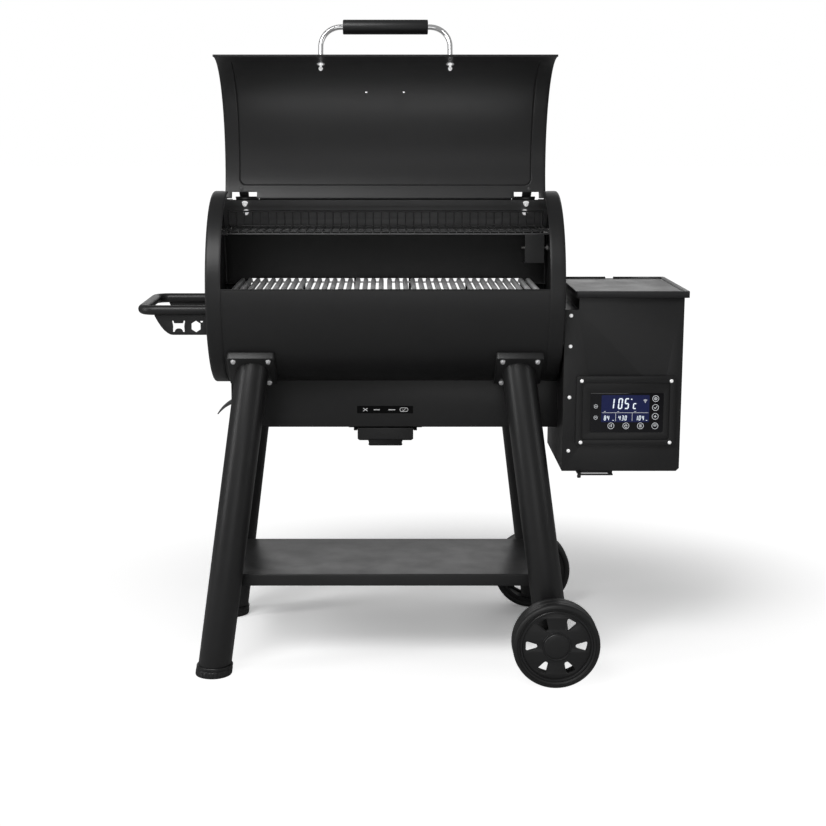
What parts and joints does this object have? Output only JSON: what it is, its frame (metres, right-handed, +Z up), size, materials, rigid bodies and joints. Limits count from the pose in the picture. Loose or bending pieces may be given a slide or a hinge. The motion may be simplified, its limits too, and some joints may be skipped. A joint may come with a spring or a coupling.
{
  "type": "pellet smoker grill",
  "caption": "Barrel-shaped pellet smoker grill with a hinged lid, splayed tube legs, two wheels, a bottom shelf and a side pellet hopper with a control screen.",
  "frame": {"origin": "on the floor, under the middle of the whole grill's bounding box", "axes": "+X towards the hopper end (the user's right), +Y to the back, +Z up; the user stands on the -Y side"},
  "size_m": [1.2502, 0.656, 1.4782],
  "materials": {
    "black_enamel": "satin black powder coat",
    "black_steel": "satin black powder coat on tube and sheet",
    "grate_coat": "grey porcelain coat",
    "chrome": "polished",
    "zinc_steel": "zinc plated, satin",
    "bare_steel": "dull pressed steel",
    "hopper_lid_coat": "satin dark grey powder coat",
    "black_plastic": "matte moulded black",
    "grip": "matte black",
    "tyre": "matte black",
    "screen": "glossy dark window"
  },
  "bodies": {
    "chassis": {"barrel_shell": "black_enamel", "left_end_cap": "black_enamel", "right_end_cap": "black_enamel", "grate_rails": "black_enamel", "cooking_grate_left": "grate_coat", "cooking_grate_right": "grate_coat", "warming_rack": "grate_coat", "rack_studs": "zinc_steel", "heat_diffuser": "bare_steel", "probe_guard": "black_steel", "temp_probe": "chrome", "exhaust_hood": "black_enamel", "grease_spout": "zinc_steel", "burner_housing": "black_steel", "fire_pot": "bare_steel", "igniter_rod": "bare_steel", "auger_tube": "zinc_steel", "auger_motor": "black_plastic", "fan_housing": "black_plastic", "tray_rails": "black_steel", "leg_front_left": "black_steel", "leg_front_right": "black_steel", "leg_rear_left": "black_steel", "leg_rear_right": "black_steel", "leg_brackets": "black_steel", "frame_bolts": "zinc_steel", "foot_caps": "black_plastic", "leg_plugs": "black_plastic", "bottom_shelf": "black_steel", "wheel_axle": "zinc_steel", "axle_spacers": "black_plastic", "side_handle": "black_steel", "handle_plate_front": "black_steel", "handle_plate_rear": "black_steel", "hinge_brackets": "black_steel", "hinge_pins": "zinc_steel", "hinge_nuts": "chrome", "hopper_body": "black_steel", "hopper_fascia": "black_steel", "hopper_bin": "zinc_steel", "finger_screen": "zinc_steel", "control_bezel": "black_plastic", "control_screen": "screen", "panel_screws": "chrome", "power_inlet": "black_plastic"},
    "lid": {"lid_shell": "black_enamel", "lid_straps": "black_steel", "lid_plate": "chrome", "lid_handle": "chrome", "handle_grip": "grip", "handle_nuts": "chrome"},
    "hopper_lid": {"hopper_lid": "hopper_lid_coat"},
    "front_wheel": {"front_tyre": "tyre", "front_rim": "black_plastic"},
    "rear_wheel": {"rear_tyre": "tyre", "rear_rim": "black_plastic"},
    "ash_tray": {"ash_tray": "black_steel"},
    "pellet_gate": {"pellet_gate": "black_steel"},
    "auger": {"auger_screw": "bare_steel"},
    "fan": {"fan_impeller": "black_plastic"}
  },
  "joints": [
    {"name": "lid_hinge", "type": "hinge", "parent": "chassis", "child": "lid", "pos_m": [-0.0579, 0.06, 1.1165], "axis": [1, 0, 0], "range_deg": [0, 88]},
    {"name": "hopper_lid_hinge", "type": "hinge", "parent": "chassis", "child": "hopper_lid", "pos_m": [0.4941, 0.162, 0.868], "axis": [-1, 0, 0], "range_deg": [0, 100]},
    {"name": "front_wheel_spin", "type": "hinge", "parent": "chassis", "child": "front_wheel", "pos_m": [0.32598, -0.298, 0.0984], "axis": [0, 1, 0], "continuous": true},
    {"name": "rear_wheel_spin", "type": "hinge", "parent": "chassis", "child": "rear_wheel", "pos_m": [0.32598, 0.298, 0.0984], "axis": [0, 1, 0], "continuous": true},
    {"name": "ash_tray_slide", "type": "slide", "parent": "chassis", "child": "ash_tray", "axis": [0, -1, 0], "range_m": [0, 0.12]},
    {"name": "pellet_gate_slide", "type": "slide", "parent": "chassis", "child": "pellet_gate", "axis": [0, -1, 0], "range_m": [0, 0.055]},
    {"name": "auger_spin", "type": "hinge", "parent": "chassis", "child": "auger", "pos_m": [0.2621, 0, 0.612], "axis": [1, 0, 0], "continuous": true},
    {"name": "fan_spin", "type": "hinge", "parent": "chassis", "child": "fan", "pos_m": [0.3821, 0.097, 0.56], "axis": [1, 0, 0], "continuous": true}
  ]
}
